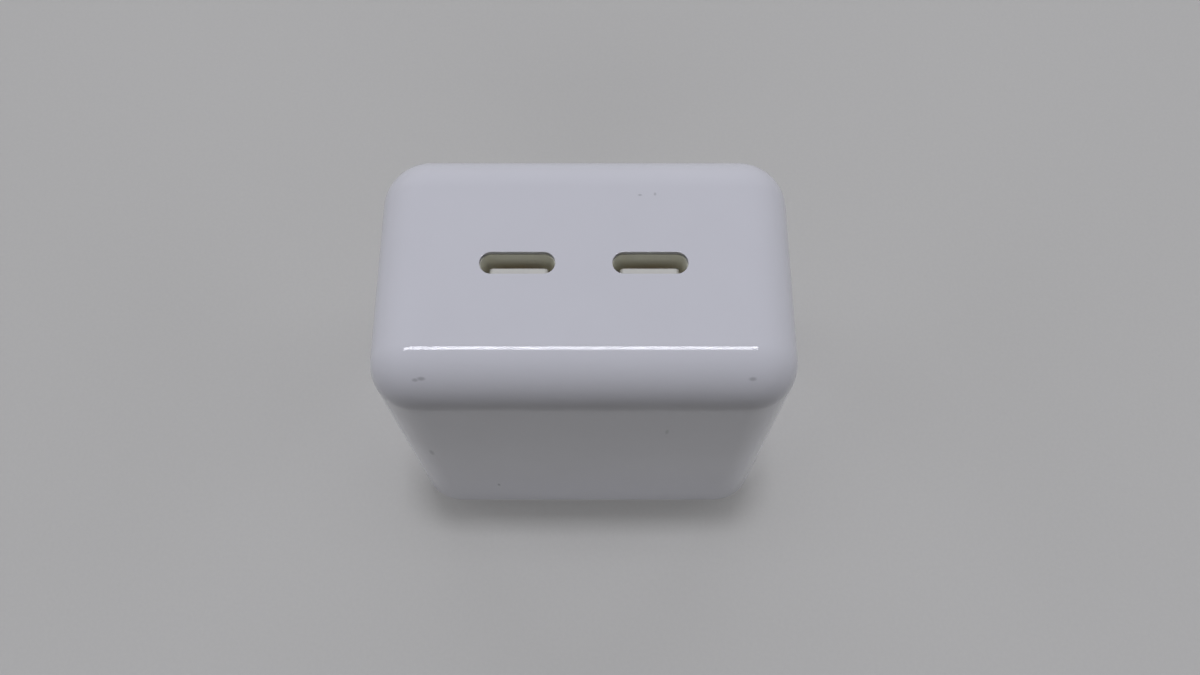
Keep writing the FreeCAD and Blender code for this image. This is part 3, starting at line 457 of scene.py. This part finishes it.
# %% Contacts and springs
gold = finish(
    "bronze_gold_plated", "#C9A047", "#DDB65E",
    rough=(0.18, 0.26), grain=0.3, relief=0.002, stretch=(1, 1, 0.1), metal=1.0,
)
paint(gold, "port_1_contacts", "port_2_contacts")
bronze = finish(
    "phosphor_bronze_rolled", "#A8763F", "#BC8B52",
    rough=(0.22, 0.32), grain=0.4, relief=0.002, stretch=(0.1, 1, 1), metal=1.0,
)
paint(bronze, "contact_spring_left", "contact_spring_right")
spring_steel = finish(
    "spring_steel_rolled", "#80807E", "#94948F",
    rough=(0.22, 0.32), grain=0.4, relief=0.002, stretch=(0.1, 1, 1), metal=1.0,
)
paint(spring_steel, "detent_spring")

# %% [markdown]
# ## Inner plastics
# The receptacle's tongue is liquid-crystal polymer, off-white with flow lines. The lid over the rotor is
# glass-filled nylon, whose fibres dull the skin. The bobbin is dark phenolic resin.

# %% Tongues, lid and bobbin
crystal_polymer = finish(
    "liquid_crystal_polymer_moulded", "#B9B8B3", "#C1C0BB",
    rough=(0.38, 0.5), grain=0.6, relief=0.004, stretch=(1, 1, 0.2),
)
paint(crystal_polymer, "port_1_tongue", "port_2_tongue")
nylon = finish("glass_nylon_moulded", "#B3B2AC", "#C4C3BD", rough=(0.45, 0.6), grain=0.25, relief=0.006)
paint(nylon, "plug_cover")
phenolic = finish("phenolic_moulded", "#262423", "#343130", rough=(0.4, 0.55), grain=0.3, relief=0.006)
paint(phenolic, "transformer_bobbin")

# %% [markdown]
# ## Board, cores and wire
# Behind the housing nothing shows, but each part keeps its own finish, for whoever opens the model. The
# board is glass cloth in epoxy under a glossy green solder mask. Ferrite is pressed and sintered, black
# and matt with a fine grit. Copper wire shows red-brown through its clear enamel.

# %% The board, the cores and the windings
mask = finish("glass_epoxy_masked", "#0F4A2B", "#156238", rough=(0.22, 0.34), grain=0.5, relief=0.006)
paint(mask, "main_board")
ferrite = finish("ferrite_sintered", "#2B2B2E", "#3B3B3E", rough=(0.45, 0.65), grain=0.4, relief=0.012)
paint(ferrite, "transformer_core", "choke_core")
enamel = finish(
    "copper_enamelled", "#8A4A1E", "#B0682F",
    rough=(0.2, 0.3), grain=0.3, relief=0.02, stretch=(1, 0.1, 1), metal=0.8,
)
paint(enamel, "transformer_winding", "choke_windings")

# %% [markdown]
# ## Capacitors, fuse and chips
# The tall cans wear a dark shrunk sleeve. The small ones are bare drawn aluminium with lines along the
# can. The film capacitor has a moulded polyester box, the fuse a glazed tube, and the disc a dipped coat
# that runs a little uneven. Chips are dull moulded epoxy, and the inductors are gritty pressed iron.

# %% Capacitors and fuse
sleeve = finish("aluminium_sleeved", "#1D2138", "#2A3050", rough=(0.28, 0.4), grain=1.2, relief=0.004)
paint(sleeve, "bulk_capacitor_1", "bulk_capacitor_2")
can = finish(
    "aluminium_drawn", "#A9AAAC", "#C3C4C6",
    rough=(0.25, 0.4), grain=0.3, relief=0.003, stretch=(1, 0.08, 1), metal=1.0,
)
paint(can, "output_capacitor_1", "output_capacitor_2")
polyester = finish(
    "polyester_box_moulded", "#C79A25", "#D6AB38", rough=(0.35, 0.5), grain=0.3, relief=0.006
)
paint(polyester, "film_capacitor")
glaze = finish("ceramic_glazed", "#C9C4B4", "#D8D4C6", rough=(0.15, 0.25), grain=0.8, relief=0.004)
paint(glaze, "fuse")
dip = finish("ceramic_resin_dipped", "#245A9B", "#2F6DB2", rough=(0.2, 0.32), grain=0.8, relief=0.01)
paint(dip, "disc_capacitor")

# %% Chips and inductors
epoxy = finish("epoxy_moulded", "#1B1B1C", "#28282A", rough=(0.45, 0.6), grain=0.2, relief=0.006)
paint(epoxy, "bridge_rectifier", "primary_switch", "output_rectifier", "optocoupler")
paint(epoxy, "port_controller_1", "port_controller_2")
powder = finish("iron_powder_pressed", "#4B4C4E", "#5E5F61", rough=(0.5, 0.7), grain=0.25, relief=0.012)
paint(powder, "output_inductor_1", "output_inductor_2")

# %% [markdown]
# ## Copper turns
# The windings are enamelled wire, laid turn by turn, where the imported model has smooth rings. Modelling
# one long wire would take very many faces and show the same thing: a ring whose surface rises and falls
# once for each turn. On the transformer that wave also creeps along the axis by one turn on each trip
# round, which makes it a helix. On the choke the wire goes round the ring's section, so the wave runs
# along the ring.

# %% Transformer winding
# The depth between two turns, the points in a turn, and the points round the coil
GROOVE, TURN_STEPS, ROUND_STEPS = 0.14 * MM, 10, 96
WINDING_BUILD, TRANSFORMER_WIRE = 1.4 * MM, 0.5 * MM
FULL_TURN = 2 * math.pi


def wave(phase):
    """The share of a groove at a phase in turns, (1 - cos(2 pi phase)) / 2.

    It is 0 on top of a turn and 1 between two turns.
    """
    return (1 - np.cos(FULL_TURN * phase)) / 2


def wound_cylinder(low, high):
    """A coil along y with flat ends.

    Its radius is the outer one minus GROOVE * wave(turns along y - turns round the axis).
    """
    middle, outer = (low + high) / 2, (high[0] - low[0]) / 2
    turns = round((high[1] - low[1]) / TRANSFORMER_WIRE)
    share = np.linspace(0, 1, turns * TURN_STEPS + 1)[:, None]
    trip = np.arange(ROUND_STEPS)[None] / ROUND_STEPS
    inside = np.full((1, ROUND_STEPS), outer - WINDING_BUILD)
    outside = outer - GROOVE * wave(share * turns - trip)
    radius = np.concatenate([inside, outside, inside, inside])
    along = np.concatenate([share[:1], share, share[-1:], share[:1]])
    x = middle[0] + radius * np.cos(FULL_TURN * trip)
    y = np.broadcast_to(low[1] + (high[1] - low[1]) * along, x.shape)
    z = middle[2] + radius * np.sin(FULL_TURN * trip)
    return np.stack([x, y, z], axis=-1)


coil_grid = wound_cylinder(*np.array(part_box("transformer_winding")))
coil = make_piece("transformer_turns", [coil_grid], material=enamel)
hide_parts("transformer_winding")
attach(coil, "housing")

# %% [markdown]
# The choke has two windings, one on each side of a toroid. The section that the wire goes round is a
# superellipse: a rectangle with soft corners. The ends of a winding are parallel to those of the other
# one, so the angle at which it starts depends on the radius.

# %% Choke windings
CHOKE_BORE, CHOKE_WIRE, CHOKE_GAP, CHOKE_TURNS = 1.8 * MM, 0.8 * MM, 1.6 * MM, 14
SECTION_STEPS, SECTION_POWER, INSIDE_STEPS = 48, 8, 25


def wound_ring(low, high):
    """One winding round a toroid whose axis is y: a sleeve between the core and the grooved outside.

    Its section follows |across| ** 8 + |up| ** 8 = 1, and its angle goes from arcsin(gap / radius) to
    pi minus that.
    """
    middle, reach = (low + high) / 2, (high[2] - low[2]) / 2
    half_size = np.array([reach - CHOKE_BORE, high[1] - low[1]]) / 2
    around = np.arange(SECTION_STEPS) / SECTION_STEPS * FULL_TURN
    sides = np.stack([np.cos(around), np.sin(around)], axis=-1)
    sides = np.sign(sides) * np.abs(sides) ** (2 / SECTION_POWER)
    past_corner = 2 ** (1 / SECTION_POWER)
    there = np.linspace(0, 1, CHOKE_TURNS * TURN_STEPS + 1)[:, None, None]
    back_again = np.linspace(1, 0, INSIDE_STEPS)[:, None, None]
    outside = (half_size - GROOVE * wave(there * CHOKE_TURNS)) * sides
    core = (half_size - CHOKE_WIRE) * past_corner * sides
    inside = np.broadcast_to(core, (INSIDE_STEPS, SECTION_STEPS, 2))
    section = np.concatenate([outside, inside, outside[:1]])
    share = np.concatenate([there, back_again, there[:1]])[..., 0]
    radius = CHOKE_BORE + half_size[0] + section[..., 0]
    start = np.arcsin(CHOKE_GAP / radius)
    angle = start + share * (math.pi - 2 * start)
    x = middle[0] + radius * np.cos(angle)
    z = middle[2] + radius * np.sin(angle)
    return np.stack([x, middle[1] + section[..., 1], z], axis=-1)


ring_box = np.array(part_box("choke_windings"))
upper = wound_ring(*ring_box)
lower = upper * (1, 1, -1) + (0, 0, ring_box[:, 2].sum())
choke_coils = make_piece("choke_turns", [upper, lower], material=enamel)
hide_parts("choke_windings")
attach(choke_coils, "housing")

# %% [markdown]
# ## Floor
# A plain table top of pale matt laminate. Its corners come from two numpy ranges. It lies a hair below
# the wall face, because two surfaces in one plane fight for the same pixels. The plug folds into that
# wall face, so the table is clear from below: a surface knows which of its sides a ray meets, and the
# back side lets it through.

# %% The table top
FLOOR_HALF, FLOOR_GAP, FLOOR_POINTS = 1.2, 0.05 * MM, 3


def clear_from_below(material):
    """Mixes the surface with a clear one by Backfacing, which is 1 on the back side and 0 on top."""
    tree = material.node_tree
    end = next(n for n in tree.nodes if n.type == "OUTPUT_MATERIAL").inputs["Surface"]
    opaque = end.links[0].from_socket
    underside = add_node(tree, "NewGeometry").outputs["Backfacing"]
    clear = add_node(tree, "BsdfTransparent").outputs["BSDF"]
    one_sided = add_node(tree, "MixShader", {0: underside, 1: opaque, 2: clear})
    tree.links.new(one_sided.outputs["Shader"], end)


laminate = finish("table_laminate", "#C1C0BB", "#C7C6C1", rough=(0.55, 0.7), grain=0.5, relief=0.004)
clear_from_below(laminate)
span = np.linspace(-FLOOR_HALF, FLOOR_HALF, FLOOR_POINTS)
across, along = np.meshgrid(span, span)
flat = np.stack([across, along, np.full_like(across, -FLOOR_GAP)], axis=-1)
floor = make_piece("table_top", [flat], closed=False, material=laminate)
if floor.data.polygons[0].normal.z < 0:
    floor.data.flip_normals()
print("floor:", 2 * FLOOR_HALF, "m wide, facing", floor.data.polygons[0].normal.z)

# %% [markdown]
# ## Light
# One kind of lamp is enough: a rectangle that faces a point. Light linking tells each lamp which objects
# it lights, and which of them block it. So the adapter and the table can each have their own lamps, and
# the table blocks none of those that stand below it.

# %% What a lamp lights


def lit_group(name, members):
    """A collection that lists the objects a lamp lights."""
    group = bpy.data.collections.new(name)
    for member in members:
        group.objects.link(member)
    print(name, len(members))
    return group


adapter = lit_group("adapter_pieces", [*nodes.values(), skin, guides, coil, choke_coils])
blades = lit_group("blades_only", [nodes["blade_left"], nodes["blade_right"]])
table = lit_group("table_only", [floor])

# %% One lamp
COOL_WHITE = linear("#F3F4FD")
BEHIND, RIGHT, IN_FRONT, LEFT = 0.0, 90.0, 180.0, -90.0


def lamp(name, lights, aim, tilt, distance, size, watts, bearing=BEHIND):
    """A rectangular area lamp that faces a point from a distance, and that only the adapter blocks.

    It stands tilt degrees from the zenith, towards a bearing in degrees.
    """
    data = bpy.data.lights.new(name, "AREA")
    data.shape = "RECTANGLE"
    data.size, data.size_y = size
    data.energy = watts
    data.color = COOL_WHITE[:3]
    item = bpy.data.objects.new(name, data)
    bpy.context.scene.collection.objects.link(item)
    item.rotation_euler = Euler((-math.radians(tilt), 0, -math.radians(bearing)))
    towards_lamp = np.array(item.rotation_euler.to_matrix().col[2])
    item.location = aim + distance * towards_lamp
    item.visible_camera = False
    item.light_linking.receiver_collection = lights
    item.light_linking.blocker_collection = adapter
    print(name, watts, "W at", [round(v, 3) for v in item.location])
    return item


print("lamp colour:", [round(v, 3) for v in COOL_WHITE])

# %% [markdown]
# The photograph gives its light away. The thin bright line along the front edge is a long lamp above, a
# little behind, mirrored in the gloss: the strip. The shade round that edge falls off as from a softbox
# in the same direction. The upright walls aren't dark, because pale things stand round the adapter, so
# small cards light its sides, back, front foot and wall face. Only the strip may show in the gloss, so
# these lamps are hidden from it, apart from one for the metal of the blades.

# %% Lamps for the adapter
wall_face = np.zeros(3)
port_edge = np.array([0, EDGE - half_y, tall])
base_edge = np.array([0, -half_y, 0])
STRIP_SHIFT = np.array([-0.06, 0, 0])
strip_aim = port_edge + STRIP_SHIFT
SIDE_CARD = {"tilt": 92.0, "distance": 0.25, "size": (0.2, 0.06), "watts": 0.06}
LOW_CARD = {"tilt": 80.0, "distance": 0.05, "size": (0.05, 0.02), "watts": 0.0065}
FOOT_CARD = {"tilt": 78.0, "distance": 0.016, "size": (0.05, 0.006), "watts": 0.0009}
lamp("blade_card", blades, wall_face, tilt=180.0, distance=0.2, size=(0.4, 0.4), watts=0.5)
lamp("edge_strip", adapter, strip_aim, tilt=11.85, distance=0.49, size=(0.515, 0.059), watts=0.88)
cards = [
    lamp("rear_softbox", adapter, port_edge, tilt=18.5, distance=0.9, size=(0.9, 0.3), watts=4.45),
    lamp("under_card", adapter, wall_face, tilt=172.0, distance=0.3, size=(0.2, 0.2), watts=0.5),
    lamp("back_card", adapter, -base_edge, tilt=80.0, distance=0.25, size=(0.2, 0.06), watts=0.05),
    lamp("front_card", adapter, base_edge, bearing=IN_FRONT, **FOOT_CARD),
]
for side, bearing in (("left", LEFT), ("right", RIGHT)):
    side_foot = np.array([math.copysign(half_x, bearing), 0, 0])
    cards.append(lamp(side + "_card", adapter, port_edge, bearing=bearing, **SIDE_CARD))
    cards.append(lamp(side + "_low_card", adapter, side_foot, bearing=bearing, **LOW_CARD))
for card in cards:
    card.visible_glossy = False
print("hidden from the gloss:", len(cards))

# %% [markdown]
# The short soft shadow on the table asks for two lamps almost straight above, and the even light around
# it for a box on each of the four sides.

# %% Lamps for the table
BOX = {"tilt": 60.0, "distance": 0.9, "size": (1.08, 0.54)}
BOXES = (("left", LEFT, 2.0), ("right", RIGHT, 2.0), ("rear", BEHIND, 2.1), ("front", IN_FRONT, 1.8))
for side, bearing, watts in BOXES:
    lamp("table_" + side + "_box", table, -base_edge, watts=watts, bearing=bearing, **BOX)
lamp("table_far_lamp", table, base_edge, tilt=5.2, distance=2.0, size=(0.3, 0.16), watts=8.6)
lamp("table_near_lamp", table, base_edge, tilt=6.0, distance=0.36, size=(0.4, 0.076), watts=0.19)

# %% [markdown]
# The world fills in from all round. Camera, gloss and transmission rays see a brighter level of it than
# diffuse ones: that is the pale background, which adds no light to the object.

# %% World
DIM_FILL, PALE_BACKGROUND = 0.03, 0.45
WARM_WHITE = linear("#FCFAF6")
world = bpy.data.worlds.new("studio_fill")
bpy.context.scene.world = world
world.use_nodes = True
air = world.node_tree
air.nodes.clear()
ray = add_node(air, "LightPath").outputs
camera_gloss = {0: ray["Is Camera Ray"], 1: ray["Is Glossy Ray"]}
direct = add_node(air, "Math", camera_gloss, operation="MAXIMUM").outputs[0]
with_glass = {0: direct, 1: ray["Is Transmission Ray"]}
seen = add_node(air, "Math", with_glass, operation="MAXIMUM").outputs[0]
level = {"Value": seen, "To Min": DIM_FILL, "To Max": PALE_BACKGROUND}
strength = add_node(air, "MapRange", level).outputs["Result"]
sky = add_node(air, "Background", {"Color": WARM_WHITE, "Strength": strength})
add_node(air, "OutputWorld", {"Surface": sky.outputs["Background"]})
print("fill:", DIM_FILL, "background:", PALE_BACKGROUND)

# %% [markdown]
# ## Camera
# The edges of the adapter in the photograph, fitted to a box of its real size, give the camera: how far
# off it stood, how steeply it looked down, and its focal length in pixels of the 1200-pixel frame.

# %% The photograph's camera
FOCAL_PIXELS, FRAME_PIXELS, SENSOR_MM = 1043.0, 1200.0, 36.0
LOOK_DOWN = math.radians(67.34)
CAMERA_MM = (1.8, -52.3, 149.7)
NEAR_LIMIT = 0.01
lens = bpy.data.cameras.new("photo_camera")
lens.sensor_width = SENSOR_MM
lens.lens = SENSOR_MM * FOCAL_PIXELS / FRAME_PIXELS
lens.clip_start = NEAR_LIMIT
camera = bpy.data.objects.new("photo_camera", lens)
bpy.context.scene.collection.objects.link(camera)
camera.location = [v * MM for v in CAMERA_MM]
camera.rotation_euler = Euler((math.pi / 2 - LOOK_DOWN, 0, 0))
bpy.context.scene.camera = camera
bpy.context.scene.view_settings.view_transform = "Standard"
print("lens in mm:", round(lens.lens, 2))
